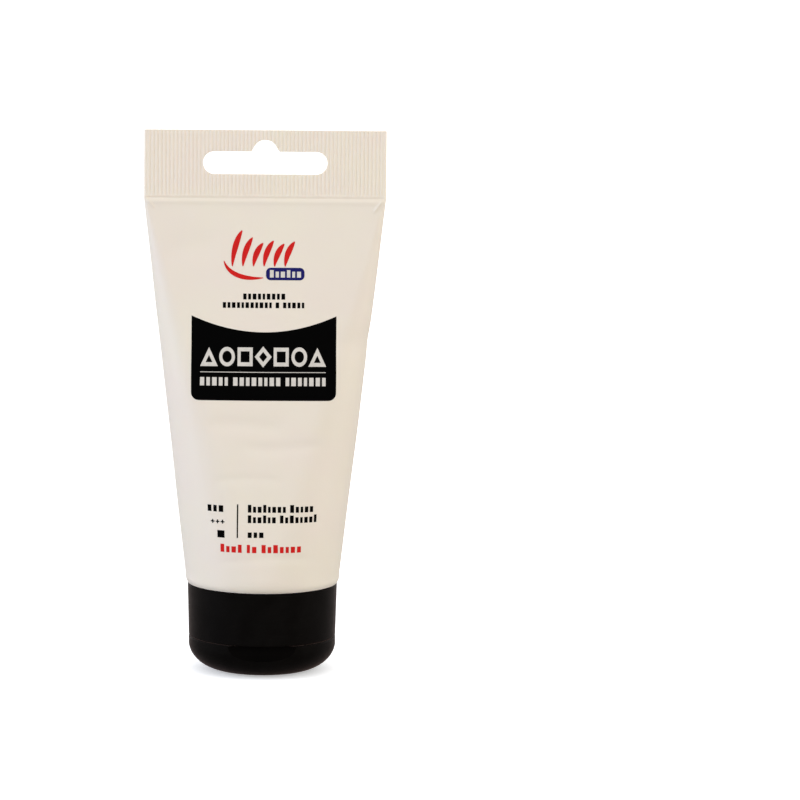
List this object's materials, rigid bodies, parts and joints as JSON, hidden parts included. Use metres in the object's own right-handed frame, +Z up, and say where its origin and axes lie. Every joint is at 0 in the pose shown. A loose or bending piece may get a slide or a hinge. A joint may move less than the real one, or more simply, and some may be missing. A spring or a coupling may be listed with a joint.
{
  "type": "paint tube",
  "caption": "Squeezable plastic tube of acrylic paint with a flat ribbed crimp, a hanging slot and a black screw-on cap with a hinged flip lid that it stands on.",
  "frame": {"origin": "centre of the flat on the lid that the tube stands on, on the tube's own axis", "axes": "+Z up along the tube's axis, from the lid to the crimp; -Y towards the printed front with the thumb recess; +Y towards the living hinge; X across the crimp's width"},
  "size_m": [0.0634, 0.0406, 0.1427],
  "materials": {
    "cap_plastic": "satin",
    "sleeve_plastic": "satin",
    "head_plastic": "satin",
    "foil": "satin",
    "paint": "gloss",
    "ink_black": "satin",
    "ink_grey": "satin",
    "ink_red": "satin",
    "ink_navy": "satin"
  },
  "bodies": {
    "lid": {"flip_lid": "cap_plastic", "hinge_strap": "cap_plastic", "hinge_bands": "cap_plastic"},
    "cap": {"cap_base": "cap_plastic", "nozzle": "cap_plastic"},
    "seal": {"foil_seal": "foil"},
    "tube": {"tube_head": "head_plastic", "tube_sleeve": "sleeve_plastic", "paint_fill": "paint"}
  },
  "joints": [
    {"name": "lid_hinge", "type": "hinge", "parent": "lid", "child": "cap", "pos_m": [0, 0.0183, 0.009], "axis": [-1, 0, 0], "range_deg": [0, 100], "deforming": ["hinge_strap", "hinge_bands"]},
    {"name": "cap_lift", "type": "slide", "parent": "cap", "child": "seal", "axis": [0, 0, 1], "range_m": [0, 0.008]},
    {"name": "cap_turn", "type": "hinge", "parent": "seal", "child": "tube", "pos_m": [0, 0, 0], "axis": [0, 0, 1], "range_deg": [0, 720]}
  ],
  "couplings": [
    {"joint": "cap_lift", "follows": "cap_turn", "m_per_rad": 0.0006366}
  ]
}
